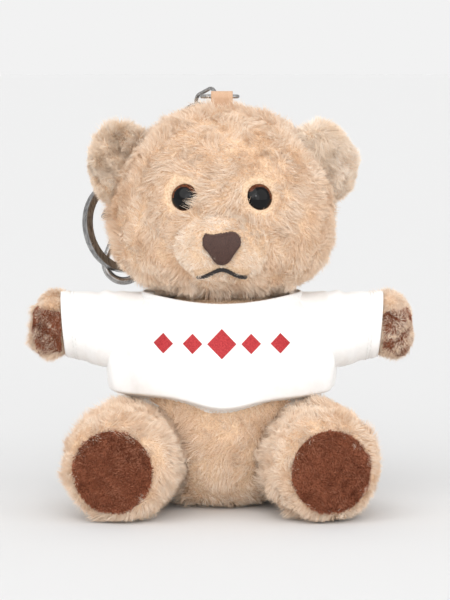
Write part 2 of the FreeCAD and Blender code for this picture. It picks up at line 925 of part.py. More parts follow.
def swivel_local():
    """Swivel eye: a wire loop on a post with a riveted head."""
    loop = Part.makeTorus(EYE_BEND, EYE_WIRE, V(0, EYE_CENTRE, 0), X_AXIS)
    top = EYE_CENTRE - EYE_BEND
    post = Part.makeCylinder(
        POST_RADIUS - RUN_GAP,
        top - BLOCK_LOW + 1.0,
        V(0, BLOCK_LOW - 1.0, 0),
        Y_AXIS,
    )
    head = Part.makeCylinder(POST_HEAD, 0.9, V(0, BLOCK_LOW - 1.0, 0), Y_AXIS)
    return loop.fuse([post, head]).removeSplitter()


def swivel_placement():
    """The swivel eye is turned so its loop crosses the last flat link."""
    seat = clasp_placement()
    axis = unit(CLASP_AXIS)
    side = chain_side()
    out = side.cross(axis)
    return basis(seat.Base, axis, out)


def block_local():
    """Body block of the clasp, with its swivel barrel."""
    right = -GATE_X + HOOK_WIRE
    points = [
        V(GATE_X - 1.7, BLOCK_LOW, 0),
        V(right, BLOCK_LOW, 0),
        V(right, BLOCK_LOW + 2.6, 0),
        V(2.1, BLOCK_WAIST, 0),
        V(2.1, BLOCK_TOP, 0),
        V(-2.1, BLOCK_TOP, 0),
        V(-2.1, BLOCK_WAIST, 0),
        V(GATE_X - 1.7, BLOCK_LOW + 3.4, 0),
        V(GATE_X - 1.7, BLOCK_LOW, 0),
    ]
    face = Part.Face(Part.makePolygon(points))
    face.translate(V(0, 0, -BLOCK_THICK / 2))
    block = face.extrude(V(0, 0, BLOCK_THICK))
    return block.makeFillet(0.5, block.Edges)


def hook_local():
    """Hook of the clasp, from the gate's tip round to the block."""
    bow = Part.makeTorus(HOOK_BEND, HOOK_WIRE, V(0, 0, 0), Z_AXIS, -180, 180, 180)
    bow.rotate(V(0, 0, 0), Z_AXIS, 180)
    tip = Part.makeSphere(HOOK_WIRE, V(-HOOK_BEND, 0, 0))
    spine = Part.makeCylinder(HOOK_WIRE, BLOCK_LOW + 1, V(HOOK_BEND, 0, 0), Y_AXIS)
    return bow.fuse([tip, spine])


def gate_room_local():
    """Slot in the block that the gate turns in."""
    wide = BLOCK_THICK - 2 * CHEEK
    return Part.makeBox(
        3.9,
        2 * SLOT_DEPTH,
        wide,
        V(GATE_X - 2.1, BLOCK_LOW - SLOT_DEPTH, -wide / 2),
    )


def make_clasp_body():
    """Cast body of the clasp: hook, spine, block and barrel."""
    body = block_local().fuse(hook_local())
    body = body.cut(gate_room_local())
    bore = Part.makeCylinder(POST_RADIUS, 40, V(0, 0, 0), Y_AXIS)
    pin = Part.makeCylinder(PIN_RADIUS, 20, V(GATE_X, GATE_PIVOT, -10), Z_AXIS)
    body = body.cut(bore.common(block_local())).cut(pin)
    tip_gap = Part.makeCylinder(
        2 * HOOK_WIRE,
        6,
        V(-HOOK_BEND, HOOK_WIRE * 0.35, 0),
        Y_AXIS,
    )
    body = body.cut(tip_gap)
    return placed(biggest(body), clasp_placement())


def make_gate():
    """Sprung gate: a bar from the pivot to the hook's tip, with a thumb tab."""
    top = GATE_PIVOT
    low = HOOK_WIRE * 0.35 + METAL_GAP
    bar = Part.makeCylinder(GATE_WIRE, top - low - 1.4, V(GATE_X, low, 0), Y_AXIS)
    hub = Part.makeCylinder(1.45, 1.25, V(GATE_X, top, -1.05), Z_AXIS)
    neck = Part.makeBox(1.9, 2.6, 1.25, V(GATE_X - 0.95, top - 3.0, -1.05))
    tab = Part.makeBox(4.6, 2.5, 1.25, V(GATE_X - 5.4, top - 2.4, -1.05))
    tab = tab.makeFillet(0.4, tab.Edges)
    gate = bar.fuse([hub, neck, tab])
    hole = Part.makeCylinder(PIN_RADIUS + RUN_GAP, 20, V(GATE_X, top, -10), Z_AXIS)
    gate = gate.cut(hole).removeSplitter()
    return placed(biggest(gate), clasp_placement())


def make_gate_pin():
    """Pin through the clasp's cheeks that the gate turns on."""
    start = V(GATE_X, GATE_PIVOT, -BLOCK_THICK / 2)
    pin = Part.makeCylinder(PIN_RADIUS, BLOCK_THICK, start, Z_AXIS)
    return placed(pin, clasp_placement())


def make_gate_spring():
    """Small torsion spring round the pin, beside the gate's hub."""
    helix = Part.makeHelix(0.42, 0.63, 0.85)
    section = Part.makeCircle(0.15, V(0.85, 0, 0), Y_AXIS)
    pipe = Part.Wire(helix).makePipeShell([Part.Wire(section)], True, True)
    pipe.translate(V(GATE_X, GATE_PIVOT, 0.38))
    return placed(as_solid(pipe), clasp_placement())


def make_swivel():
    """Swivel eye of the clasp."""
    return placed(biggest(swivel_local()), swivel_placement())


# ---- split ring -----------------------------------------------------------
def ring_grip():
    """Point in the clasp's hook that the ring passes through."""
    drop = HOOK_BEND - HOOK_WIRE - RING_BAND / 2 - METAL_GAP - RING_SEAT
    return clasp_placement().multVec(V(RING_SHIFT, -drop, 0))


RING_SEAT = 1.1          # how far the ring stands off the bottom of the hook
RING_SHIFT = 0.0


def ring_placement():
    """Placement of the ring: Z along its own axis."""
    a = math.radians(RING_FACING)
    b = math.radians(RING_LEAN)
    c = math.radians(RING_TIP)
    facing = V(math.sin(a), -math.cos(a), 0)
    level = V(math.cos(a), math.sin(a), 0)
    rise = Z_AXIS * math.cos(c) - facing * math.sin(c)
    up = level * math.sin(b) + rise * math.cos(b)
    centre = ring_grip() + up * (RING_RADIUS - RING_BAND / 2)
    return basis(centre, up, facing)


def make_split_ring():
    """Split ring: flat wire coiled nearly twice."""
    pitch = RING_WIRE + RING_COIL_GAP
    middle = RING_RADIUS - RING_BAND / 2
    helix = Part.makeHelix(pitch, pitch * RING_TURNS, middle)
    b = RING_BAND / 2
    w = RING_WIRE / 2
    corners = [
        V(middle - b, 0, -w),
        V(middle + b, 0, -w),
        V(middle + b, 0, w),
        V(middle - b, 0, w),
        V(middle - b, 0, -w),
    ]
    section = Part.makePolygon(corners)
    coil = Part.Wire(helix).makePipeShell([section], True, True)
    coil = as_solid(coil)
    coil.translate(V(0, 0, -pitch * RING_TURNS / 2))
    coil.rotate(V(0, 0, 0), Z_AXIS, 60)
    return placed(coil, ring_placement())


# ---- output ---------------------------------------------------------------
def left_pieces():
    """The pieces that come in mirrored pairs, for the left side."""
    return {
        "eye_lens": make_eye_lens("l"),
        "eye_shank": make_eye_shank("l"),
        "eye_washer": make_eye_washer("l"),
        "ear": make_ear("l"),
        "arm_skin": make_arm_skin("l"),
        "arm_stuffing": make_arm_stuffing("l"),
        "shirt_sleeve": make_sleeve("l"),
        "paw_pad": make_paw_pad("l"),
        "leg_skin": make_leg_skin("l"),
        "leg_stuffing": make_leg_stuffing("l"),
        "foot_pad": make_foot_pad("l"),
    }


def pieces():
    """Every piece of the keychain by name."""
    room = moving_room()
    out = {
        "body_skin": make_body_skin(room),
        "body_stuffing": make_body_stuffing(room),
        "shirt_body": make_shirt_body(),
        "shirt_hem": make_shirt_hem(),
        "shirt_collar": make_collar(),
        "shirt_print": make_print(),
        "head_skin": make_head_skin(),
        "head_stuffing": make_head_stuffing(),
        "muzzle": make_muzzle(),
        "nose": make_nose(),
        "mouth_stitch": make_mouth(),
        "hang_tab": make_tab(),
        "clasp_body": make_clasp_body(),
        "clasp_gate": make_gate(),
        "gate_pin": make_gate_pin(),
        "gate_spring": make_gate_spring(),
        "swivel_eye": make_swivel(),
        "split_ring": make_split_ring(),
    }
    for name, shape in left_pieces().items():
        out[name + "_l"] = shape
        out[name + "_r"] = mirrored(shape)
    for k in range(1, LINK_COUNT + 1):
        out["chain_link_%d" % k] = make_link(k)
    return out


def main():
    """Write one STEP file for each piece."""
    os.makedirs("parts", exist_ok=True)
    for name, shape in pieces().items():
        shape.exportStep("parts/" + name + ".step")


main()
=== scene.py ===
import math

import bmesh
import bpy
import numpy as np
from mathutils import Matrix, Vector
from mathutils.bvhtree import BVHTree


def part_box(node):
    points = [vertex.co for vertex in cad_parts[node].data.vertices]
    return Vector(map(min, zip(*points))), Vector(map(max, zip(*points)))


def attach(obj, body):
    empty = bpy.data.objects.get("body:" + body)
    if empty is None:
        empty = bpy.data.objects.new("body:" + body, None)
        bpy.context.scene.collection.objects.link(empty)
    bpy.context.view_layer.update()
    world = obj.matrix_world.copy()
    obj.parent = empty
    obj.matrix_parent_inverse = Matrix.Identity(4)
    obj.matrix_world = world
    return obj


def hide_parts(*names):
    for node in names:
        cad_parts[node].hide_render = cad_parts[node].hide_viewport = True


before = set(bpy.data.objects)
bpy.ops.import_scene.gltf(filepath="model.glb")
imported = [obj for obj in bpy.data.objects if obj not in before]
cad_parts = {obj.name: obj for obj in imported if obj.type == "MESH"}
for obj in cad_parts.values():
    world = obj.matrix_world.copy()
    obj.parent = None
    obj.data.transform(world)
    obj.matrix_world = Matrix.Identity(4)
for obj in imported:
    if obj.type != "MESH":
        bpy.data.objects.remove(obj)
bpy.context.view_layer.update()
MM = 0.001
SIDES = {"l": -1.0, "r": 1.0}


# ---- materials ------------------------------------------------------------
def srgb(r, g, b):
    out = []
    for c in (r, g, b):
        c = c / 255
        out.append(c / 12.92 if c <= 0.04045 else ((c + 0.055) / 1.055) ** 2.4)
    return (*out, 1.0)


def shader(name, colour, rough, metallic=0.0, sheen=0.0, spec=0.5, coat=0.0):
    mat = bpy.data.materials.new(name)
    mat.use_nodes = True
    p = mat.node_tree.nodes["Principled BSDF"]
    p.inputs["Base Color"].default_value = colour
    p.inputs["Roughness"].default_value = rough
    p.inputs["Metallic"].default_value = metallic
    p.inputs["Specular IOR Level"].default_value = spec
    p.inputs["Sheen Weight"].default_value = sheen
    p.inputs["Sheen Roughness"].default_value = 0.6
    p.inputs["Sheen Tint"].default_value = colour
    p.inputs["Coat Weight"].default_value = coat
    p.inputs["Coat Roughness"].default_value = 0.04
    return mat


def nodes_of(mat):
    return mat.node_tree.nodes, mat.node_tree.links, mat.node_tree.nodes["Principled BSDF"]


def noise(mat, size_mm, detail=3.0, stretch=(1, 1, 1)):
    """Noise whose features are about size_mm across, in the piece's own space."""
    nodes, links, _ = nodes_of(mat)
    at = nodes.new("ShaderNodeTexCoord")
    fit = nodes.new("ShaderNodeMapping")
    fit.inputs["Scale"].default_value = stretch
    tex = nodes.new("ShaderNodeTexNoise")
    tex.inputs["Scale"].default_value = 1 / (size_mm * MM)
    tex.inputs["Detail"].default_value = detail
    links.new(at.outputs["Object"], fit.inputs["Vector"])
    links.new(fit.outputs["Vector"], tex.inputs["Vector"])
    return tex.outputs["Fac"]


def ribs(mat, size_mm, axis):
    """Parallel ribs or rows of stitches along one axis."""
    nodes, links, _ = nodes_of(mat)
    at = nodes.new("ShaderNodeTexCoord")
    tex = nodes.new("ShaderNodeTexWave")
    tex.bands_direction = axis
    tex.inputs["Scale"].default_value = 0.314 / (size_mm * MM)
    tex.inputs["Distortion"].default_value = 0.6
    tex.inputs["Detail"].default_value = 1.0
    links.new(at.outputs["Object"], tex.inputs["Vector"])
    return tex.outputs["Fac"]


def mixed(mat, a, b, how="MULTIPLY"):
    nodes, links, _ = nodes_of(mat)
    m = nodes.new("ShaderNodeMath")
    m.operation = how
    links.new(a, m.inputs[0])
    links.new(b, m.inputs[1])
    return m.outputs["Value"]


def tint(mat, fac, dark, light, low=0.35, high=0.65):
    nodes, links, p = nodes_of(mat)
    ramp = nodes.new("ShaderNodeValToRGB")
    ramp.color_ramp.elements[0].position = low
    ramp.color_ramp.elements[0].color = dark
    ramp.color_ramp.elements[1].position = high
    ramp.color_ramp.elements[1].color = light
    links.new(fac, ramp.inputs["Fac"])
    links.new(ramp.outputs["Color"], p.inputs["Base Color"])
    return mat


def roughened(mat, fac, low, high):
    nodes, links, p = nodes_of(mat)
    m = nodes.new("ShaderNodeMapRange")
    m.inputs["To Min"].default_value = low
    m.inputs["To Max"].default_value = high
    links.new(fac, m.inputs["Value"])
    links.new(m.outputs["Result"], p.inputs["Roughness"])
    return mat


def bumped(mat, fac, height_mm, strength=1.0):
    nodes, links, p = nodes_of(mat)
    b = nodes.new("ShaderNodeBump")
    b.inputs["Strength"].default_value = strength
    b.inputs["Distance"].default_value = height_mm * MM
    links.new(fac, b.inputs["Height"])
    links.new(b.outputs["Normal"], p.inputs["Normal"])
    return mat


def fur_tones(name, tones):
    """One plain strand finish for each tone."""
    return [shader(f"{name}_{k}", srgb(*t), 0.75, sheen=0.25, spec=0.15)
            for k, t in enumerate(tones)]


BEIGE = [(238, 212, 186), (242, 218, 194), (245, 225, 204), (248, 232, 215), (232, 203, 174)]
PALE = [(246, 226, 204), (249, 231, 211), (251, 236, 219), (253, 241, 228), (242, 219, 195)]
BROWN = [(148, 88, 62), (164, 102, 76), (132, 75, 52), (178, 120, 94), (116, 64, 43)]
beige = fur_tones("fur_beige", BEIGE)
pale = fur_tones("fur_pale", PALE)
brown = fur_tones("pile_brown", BROWN)

backing = shader("fur_backing", srgb(205, 172, 142), 0.95, sheen=0.3, spec=0.1)
fine = noise(backing, 0.5)
tint(backing, fine, srgb(214, 180, 146), srgb(242, 214, 184))
bumped(backing, fine, 0.4)

pad_back = shader("pile_backing", srgb(104, 60, 42), 0.95, sheen=0.35, spec=0.1)
nap = noise(pad_back, 0.4)
tint(pad_back, nap, srgb(96, 52, 34), srgb(150, 94, 70))
bumped(pad_back, nap, 0.25)

cotton = shader("cotton_jersey", srgb(250, 249, 247), 0.85, sheen=0.15, spec=0.2)
knit = mixed(cotton, ribs(cotton, 0.34, "X"), ribs(cotton, 0.28, "Z"))
tint(cotton, noise(cotton, 3.0), srgb(246, 245, 243), srgb(252, 251, 250))
bumped(cotton, knit, 0.06, 0.6)

rib_knit = shader("cotton_rib", srgb(248, 247, 245), 0.88, sheen=0.15, spec=0.2)
tint(rib_knit, noise(rib_knit, 0.4), srgb(238, 237, 235), srgb(251, 250, 249))
bumped(rib_knit, noise(rib_knit, 0.25), 0.08)

thread_white = shader("thread_white", srgb(240, 239, 236), 0.7, sheen=0.1)
bumped(tint(thread_white, noise(thread_white, 0.2), srgb(226, 225, 222), srgb(246, 245, 243)),
       noise(thread_white, 0.12), 0.04)

ink = shader("print_ink", srgb(176, 38, 44), 0.6, spec=0.35)
mottle = noise(ink, 0.35)
tint(ink, mottle, srgb(160, 30, 37), srgb(190, 52, 56))
bumped(ink, mottle, 0.05)

thread_dark = shader("thread_brown", srgb(58, 38, 32), 0.55, sheen=0.25)
twist = noise(thread_dark, 0.15)
tint(thread_dark, twist, srgb(48, 30, 25), srgb(92, 62, 52))
bumped(thread_dark, twist, 0.05)

thread_black = shader("thread_black", srgb(24, 20, 20), 0.55, sheen=0.2)
tint(thread_black, noise(thread_black, 0.15), srgb(14, 12, 12), srgb(38, 32, 31))
bumped(thread_black, noise(thread_black, 0.15), 0.05)

ribbon = shader("ribbon_weave", srgb(207, 173, 147), 0.7, sheen=0.3, spec=0.3)
weave = mixed(ribbon, ribs(ribbon, 0.3, "X"), ribs(ribbon, 0.22, "Z"))
tint(ribbon, weave, srgb(196, 152, 118), srgb(246, 216, 188), 0.05, 0.6)
bumped(ribbon, weave, 0.08)

eye_black = shader("eye_glass", srgb(6, 5, 6), 0.08, spec=0.18, coat=0.12)
swirl = noise(eye_black, 1.5)
roughened(eye_black, swirl, 0.05, 0.12)
eye_brown = shader("eye_amber", srgb(64, 30, 14), 0.1, spec=0.2, coat=0.12)
tint(eye_brown, noise(eye_brown, 0.5), srgb(52, 24, 12), srgb(112, 60, 34))


def metal(name, light, dark, rough):
    mat = shader(name, srgb(*light), rough, metallic=1.0)
    brushed = noise(mat, 0.6, 4.0, (1, 1, 0.25))
    tint(mat, brushed, srgb(*dark), srgb(*light))
    roughened(mat, noise(mat, 1.4), rough - 0.08, rough + 0.12)
    return bumped(mat, noise(mat, 0.18), 0.01, 0.5)


nickel = metal("nickel_plate", (190, 188, 186), (150, 148, 147), 0.24)
steel = metal("ring_steel", (176, 175, 174), (128, 127, 127), 0.28)
wire_metal = metal("chain_wire", (182, 180, 178), (140, 138, 137), 0.26)


# ---- mesh tools -----------------------------------------------------------
def new_object(name, verts, faces, mats, smooth=True):
    """verts and faces in millimetres; the object stands in the row frame."""
    mesh = bpy.data.meshes.new(name)
    points = [tuple(v) for v in np.asarray(verts) * MM]
    mesh.from_pydata(points, [], [tuple(map(int, f)) for f in faces])
    mesh.validate()
    for m in mats if isinstance(mats, list) else [mats]:
        mesh.materials.append(m)
    mesh.polygons.foreach_set("use_smooth", [smooth] * len(mesh.polygons))
    obj = bpy.data.objects.new(name, mesh)
    bpy.context.scene.collection.objects.link(obj)
    return obj


def node_tree_mm(*names):
    """Search tree over CAD nodes, in millimetres."""
    verts, faces = [], []
    for n in names:
        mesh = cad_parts[n].data
        k = len(verts)
        verts += [v.co / MM for v in mesh.vertices]
        faces += [tuple(k + i for i in p.vertices) for p in mesh.polygons]
    return BVHTree.FromPolygons(verts, faces)


def icosphere(levels):
    bm = bmesh.new()
    bmesh.ops.create_icosphere(bm, subdivisions=levels, radius=1.0)
    v = np.array([x.co for x in bm.verts])
    f = np.array([[x.index for x in p.verts] for p in bm.faces])
    bm.free()
    return v, f


def relaxed(verts, faces, rounds, share=0.5):
    """Laplacian smoothing over the triangles' edges."""
    e = np.vstack([faces[:, [0, 1]], faces[:, [1, 2]], faces[:, [2, 0]]])
    e = np.vstack([e, e[:, ::-1]])
    n = np.bincount(e[:, 0], minlength=len(verts))[:, None]
    for _ in range(rounds):
        s = np.zeros_like(verts)
        np.add.at(s, e[:, 0], verts[e[:, 1]])
        verts = verts + share * (s / n - verts)
    return verts


def normals_of(verts, faces):
    n = np.cross(verts[faces[:, 1]] - verts[faces[:, 0]], verts[faces[:, 2]] - verts[faces[:, 0]])
    v = np.zeros_like(verts)
    for k in range(3):
        np.add.at(v, faces[:, k], n)
    return v / np.maximum(np.linalg.norm(v, axis=1, keepdims=True), 1e-9)


def wrapped(nodes, centre, reach, levels=5, rounds=3):
    """Closed skin over CAD nodes, found from outside towards their middle."""
    tree = node_tree_mm(*nodes)
    d, faces = icosphere(levels)
    d = d * np.array(reach)
    c = Vector(centre)
    out = []
    for q in d:
        q = Vector(q)
        away = c + q * 3
        hit = tree.ray_cast(away, (c - away).normalized())[0]
        out.append(hit if hit is not None else c + q * 0.6)
    return relaxed(np.array(out), faces, rounds), faces


WAVES = np.random.default_rng(7).normal(size=(3, 8, 3))
PHASES = np.random.default_rng(8).uniform(0, 6.28, size=(3, 8))


def field(p, size, shift=0.0):
    """Smooth random vectors over space; features about size mm."""
    out = np.zeros_like(p)
    for k in range(3):
        out[:, k] = np.sin(p @ WAVES[k].T * (2.2 / size) + PHASES[k] + shift).sum(1) / 2.4
    return out


PILE_MOST = 39000        # strands in one piece


def strands(name, skin, body, mats, count, length, width, lean=0.8, curl=0.6, swirl_mm=7.0,
            keep=None, seed=1, pull=(0, 0, -0.25), sink=0.15, tuft=0.3):
    """Pile as tapered ribbons on a triangle skin, lying the way a slow swirl and a pull give."""
    verts, faces = skin
    r = np.random.default_rng(seed)
    a, b, c = (verts[faces[:, k]] for k in range(3))
    area = np.linalg.norm(np.cross(b - a, c - a), axis=1)
    pick = r.choice(len(faces), count, p=area / area.sum())
    u, v = r.random((2, count, 1))
    over = (u + v) > 1
    u, v = np.where(over, 1 - u, u), np.where(over, 1 - v, v)
    p = a[pick] + u * (b - a)[pick] + v * (c - a)[pick]
    vn = normals_of(verts, faces)
    f = faces[pick]
    n = vn[f[:, 0]] * (1 - u - v) + vn[f[:, 1]] * u + vn[f[:, 2]] * v
    n /= np.linalg.norm(n, axis=1, keepdims=True)
    if keep is not None:
        ok = keep(p, n)
        p, n = p[ok], n[ok]
    for k in range(0, len(p), PILE_MOST):
        label = name if k == 0 else f"{name}_{k // PILE_MOST + 1}"
        pile_mesh(label, p[k:k + PILE_MOST], n[k:k + PILE_MOST], r, body, mats, length, width,
                  lean, curl, swirl_mm, pull, sink, tuft)


def pile_mesh(name, p, n, r, body, mats, length, width, lean, curl, swirl_mm, pull, sink, tuft):
    """One mesh of strands rooted at points p with normals n."""
    m = len(p)
    flow = field(p, swirl_mm) + 0.9 * field(p, swirl_mm * 0.3, 2.0) + np.array(pull)
    flow += r.normal(scale=0.3, size=(m, 3))
    flow -= n * (flow * n).sum(1, keepdims=True)
    flow /= np.maximum(np.linalg.norm(flow, axis=1, keepdims=True), 1e-6)
    tilt = lean * r.uniform(0.55, 1.25, size=(m, 1))
    way = n * np.cos(tilt) + flow * np.sin(tilt)
    bend = field(p, swirl_mm * 0.45, 4.0) * curl + r.normal(scale=0.16, size=(m, 3))
    high = length * r.uniform(0.7, 1.25, size=(m, 1)) * (1 + tuft * field(p, 3.0, 1.0)[:, :1])
    high = np.clip(high, 0.3 * length, 1.6 * length)
    side = np.cross(way, r.normal(size=(m, 3)))
    side /= np.maximum(np.linalg.norm(side, axis=1, keepdims=True), 1e-6)
    side *= width / 2 * r.uniform(0.75, 1.3, size=(m, 1))
    p0 = p - n * sink
    p1 = p0 + way * high * 0.4
    p2 = p1 + (way + 0.45 * bend) * high * 0.33
    p3 = p2 + (way + 0.95 * bend - 0.12 * n) * high * 0.27
    grid = np.stack([p0 - side, p0 + side, p1 - side * 0.95, p1 + side * 0.95,
                     p2 - side * 0.7, p2 + side * 0.7, p3], axis=1).reshape(-1, 3) * MM
    grid[:, 2] = np.maximum(grid[:, 2], 0.1 * MM)
    base = np.arange(m)[:, None] * 7
    loops = (base + np.array([0, 1, 3, 2, 2, 3, 5, 4, 4, 5, 6])).ravel()
    starts = (np.arange(m)[:, None] * 11 + np.array([0, 4, 8])).ravel()
    mesh = bpy.data.meshes.new(name)
    mesh.vertices.add(len(grid))
    mesh.vertices.foreach_set("co", grid.astype(np.float32).ravel())
    mesh.loops.add(len(loops))
    mesh.loops.foreach_set("vertex_index", loops.astype(np.int32))
    mesh.polygons.add(len(starts))
    mesh.polygons.foreach_set("loop_start", starts.astype(np.int32))
    tone = field(p, 4.0, 3.0)[:, 0] * 0.9 + r.normal(scale=0.9, size=m) + len(mats) / 2
    tone = np.clip(np.floor(tone), 0, len(mats) - 1).astype(np.int32)
    for mat in mats:
        mesh.materials.append(mat)
    mesh.polygons.foreach_set("material_index", np.repeat(tone, 3))
    mesh.polygons.foreach_set("use_smooth", np.ones(len(starts), dtype=bool))
    mesh.update(calc_edges=True)
    mesh.validate()
    obj = bpy.data.objects.new(name, mesh)
    bpy.context.scene.collection.objects.link(obj)
    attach(obj, body)


def tube(points, radius, sides=8, closed=False):
    """Round rod along points; returns verts and faces."""
    pts = np.array(points, float)
    m = len(pts)
    verts, faces = [], []
    up = None
    for k in range(m):
        a = pts[(k - 1) % m] if closed or k else pts[k]
        b = pts[(k + 1) % m] if closed or k < m - 1 else pts[k]
        t = (b - a) / max(np.linalg.norm(b - a), 1e-9)
        if up is None:
            up = np.array([0.0, 0, 1]) if abs(t[2]) < 0.9 else np.array([1.0, 0, 0])
        s = np.cross(t, up)
        s /= max(np.linalg.norm(s), 1e-9)
        up = np.cross(s, t)
        rr = radius if np.isscalar(radius) else radius[k]
        for i in range(sides):
            g = 2 * math.pi * i / sides
            verts.append(pts[k] + rr * (math.cos(g) * s + math.sin(g) * up))
    for k in range(m if closed else m - 1):
        for i in range(sides):
            j = (i + 1) % sides
            q = (k + 1) % m
            faces.append((k * sides + i, k * sides + j, q * sides + j, q * sides + i))
    if not closed:
        faces.append(tuple(range(sides))[::-1])
        faces.append(tuple((m - 1) * sides + i for i in range(sides)))
    return verts, faces


def joined(parts):
    verts, faces = [], []
    for v, f in parts:
        k = len(verts)
        verts += list(v)
        faces += [tuple(k + i for i in q) for q in f]
    return verts, faces


# ---- plush parts ----------------------------------------------------------
def plush(name, nodes, centre, reach, body, mats, count, length, levels=5, keep=None,
          stood_for=(), fill=0.8, lean=0.85, seed=1, width=0.17, base_mat=None, **more):
    """A stuffed piece: its backing skin, swollen a little unevenly, and its pile."""
    skin = wrapped(nodes, centre, reach, levels)
    v, f = skin
    n = normals_of(v, f)
    v = v + n * (0.12 * field(v, 9.0)[:, :1] - 0.15)
    obj = new_object(name, v, f, base_mat or backing)
    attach(obj, body)
    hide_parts(*stood_for)
    strands(name + "_pile", (v, f), body, mats, count, length, width, lean, keep=keep,
            seed=seed, **more)
    return v, f


def many(n):
    """Strand count, kept at full density."""
    return int(n * (1.0))


EYE_X = 9.9
EYE_BARE_Z = 81.3        # middle of the bare ring round each eye, a little above the eye
EYE_MARGIN = 4.7
MUZZLE_Z = 68.4


def off_face(p, n):
    """Head pile stays clear of the eyes, the nose and the muzzle's seam."""
    ok = (p[:, 2] > 53.8)
    for s in (1, -1):
        away = np.hypot(p[:, 0] - s * EYE_X, p[:, 2] - EYE_BARE_Z)
        ok &= ~((away < EYE_MARGIN) & (p[:, 1] < 0))
    inside = ((p[:, 0] / 11.6) ** 2 + ((p[:, 2] - MUZZLE_Z) / 8.2) ** 2 < 1) & (p[:, 1] < 0)
    return ok & ~inside


plush("head_plush", ["head_skin", "head_stuffing"], (0, 0, 76), (34, 30, 30), "head",
      beige, many(115000), 2.15, 6, off_face, ("head_skin", "head_stuffing"), 0.9, seed=11,
      width=0.1)


def off_nose(p, n):
    """Muzzle pile stays clear of the nose, the mouth and the seam behind."""
    nose = np.abs(p[:, 0]) < 4.6 - 0.42 * np.clip(71.9 - p[:, 2], 0, 9)
    nose &= (p[:, 2] > 64.2) & (p[:, 2] < 72.2)
    mouth = (np.abs(p[:, 0]) < 6.8) & (np.abs(p[:, 2] - 63.0 + 0.03 * p[:, 0] ** 2) < 0.9)
    return ~(nose & (n[:, 1] < 0)) & ~mouth & (n[:, 1] < 0.6)


plush("muzzle_plush", ["muzzle"], (0, -20.5, MUZZLE_Z), (14, 9.5, 11), "head", pale,
      many(30000), 1.25, 5, off_nose, ("muzzle",), 0.85, seed=12, width=0.09, lean=0.95)

for s, g in SIDES.items():
    plush(f"ear_plush_{s}", [f"ear_{s}"], (g * 26.6, 1.0, 88.4), (11, 7, 12), "head",
          pale, many(30000), 1.9, 5, None, (f"ear_{s}",), 0.6,
          seed=13 + int(g), width=0.1)


def below_shirt(p, n):
    """Body pile grows only where the shirt leaves it bare."""
    return p[:, 2] < 31


plush("body_plush", ["body_skin", "body_stuffing"], (0, 0, 26), (30, 26, 32), "body",
      beige, many(60000), 2.0, 5, below_shirt, ("body_skin", "body_stuffing"), 0.9, seed=17,
      width=0.11)

for s, g in SIDES.items():
    def past_cuff(p, n, g=g):
        return p[:, 0] * g > 39.2

    plush(f"arm_plush_{s}", [f"arm_skin_{s}", f"arm_stuffing_{s}", f"paw_pad_{s}"],
          (g * 36, -0.2, 45.8), (22, 11, 12), f"arm_{s}", beige, many(60000), 1.6, 5, past_cuff,
          (f"arm_skin_{s}", f"arm_stuffing_{s}"), 0.8, seed=19 + int(g), width=0.1)

    def off_sole(p, n, g=g):
        sole = np.hypot((p[:, 0] - g * 27.1) / 9.3, (p[:, 2] - 12.6) / 9.8) < 1
        return ~(sole & (n[:, 1] < -0.55)) & (p[:, 2] > 0.5)

    plush(f"leg_plush_{s}", [f"leg_skin_{s}", f"leg_stuffing_{s}"], (g * 24.2, -19, 13.4),
          (18, 30, 17), f"leg_{s}", beige, many(76000), 2.1, 6, off_sole,
          (f"leg_skin_{s}", f"leg_stuffing_{s}"), 0.85, seed=23 + int(g), width=0.1)


def pile_patch(name, node, body, count, length, facing, seed):
    """Short-pile patch sewn on: its backing with a turned edge, and its nap."""
    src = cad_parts[node]
    mesh = src.data.copy()
    obj = bpy.data.objects.new(name, mesh)
    bpy.context.scene.collection.objects.link(obj)
    mod = obj.modifiers.new("even", "REMESH")
    mod.mode = "VOXEL"
    mod.voxel_size = 0.42 * MM
    soft = obj.modifiers.new("soft", "SMOOTH")
    soft.iterations = 4
    graph = bpy.context.evaluated_depsgraph_get()
    made = bpy.data.meshes.new_from_object(obj.evaluated_get(graph))
    bpy.data.objects.remove(obj)
    v = np.array([x.co for x in made.vertices]) / MM
    f = []
    for p in made.polygons:
        q = list(p.vertices)
        f += [(q[0], q[k], q[k + 1]) for k in range(1, len(q) - 1)]
    f = np.array(f)
    obj = new_object(name, v, f, pad_back)
    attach(obj, body)
    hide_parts(node)

    def outward(p, n):
        return n @ np.array(facing) > 0.1

    strands(name + "_nap", (v, f), body, brown, count, length, 0.13, 0.75, 0.3, 6.0,
            outward, seed, (0, 0, -0.4), 0.1, 0.15)


for s, g in SIDES.items():
    pile_patch(f"paw_patch_{s}", f"paw_pad_{s}", f"arm_{s}", many(14000), 0.75,
               (g * 0.75, -0.6, 0.2), 31 + int(g))
    pile_patch(f"foot_patch_{s}", f"foot_pad_{s}", f"leg_{s}", many(22000), 0.85,
               (g * 0.17, -0.98, 0), 37 + int(g))


# ---- T-shirt --------------------------------------------------------------
front_tree = node_tree_mm("shirt_body")


def shirt_radius(z):
    """Half depth of the shirt's body at a height, read from its own form."""
    z = min(max(z, 28.2), 53.6)
    hit = front_tree.ray_cast(Vector((0, -60, z)), Vector((0, 1, 0)))[0]
    return -hit.y if hit is not None else 20.0


SHIRT_LOW = 26.6
SHIRT_HIGH = 54.4
ROWS, TURNS = 88, 360
levels_z = np.linspace(0, 1, ROWS)
profile = np.array([shirt_radius(SHIRT_LOW + t * (SHIRT_HIGH - SHIRT_LOW)) for t in levels_z])
for _ in range(4):
    profile[1:-1] = (profile[:-2] + profile[1:-1] * 2 + profile[2:]) / 4
WIDER = 59.4 / 50.2


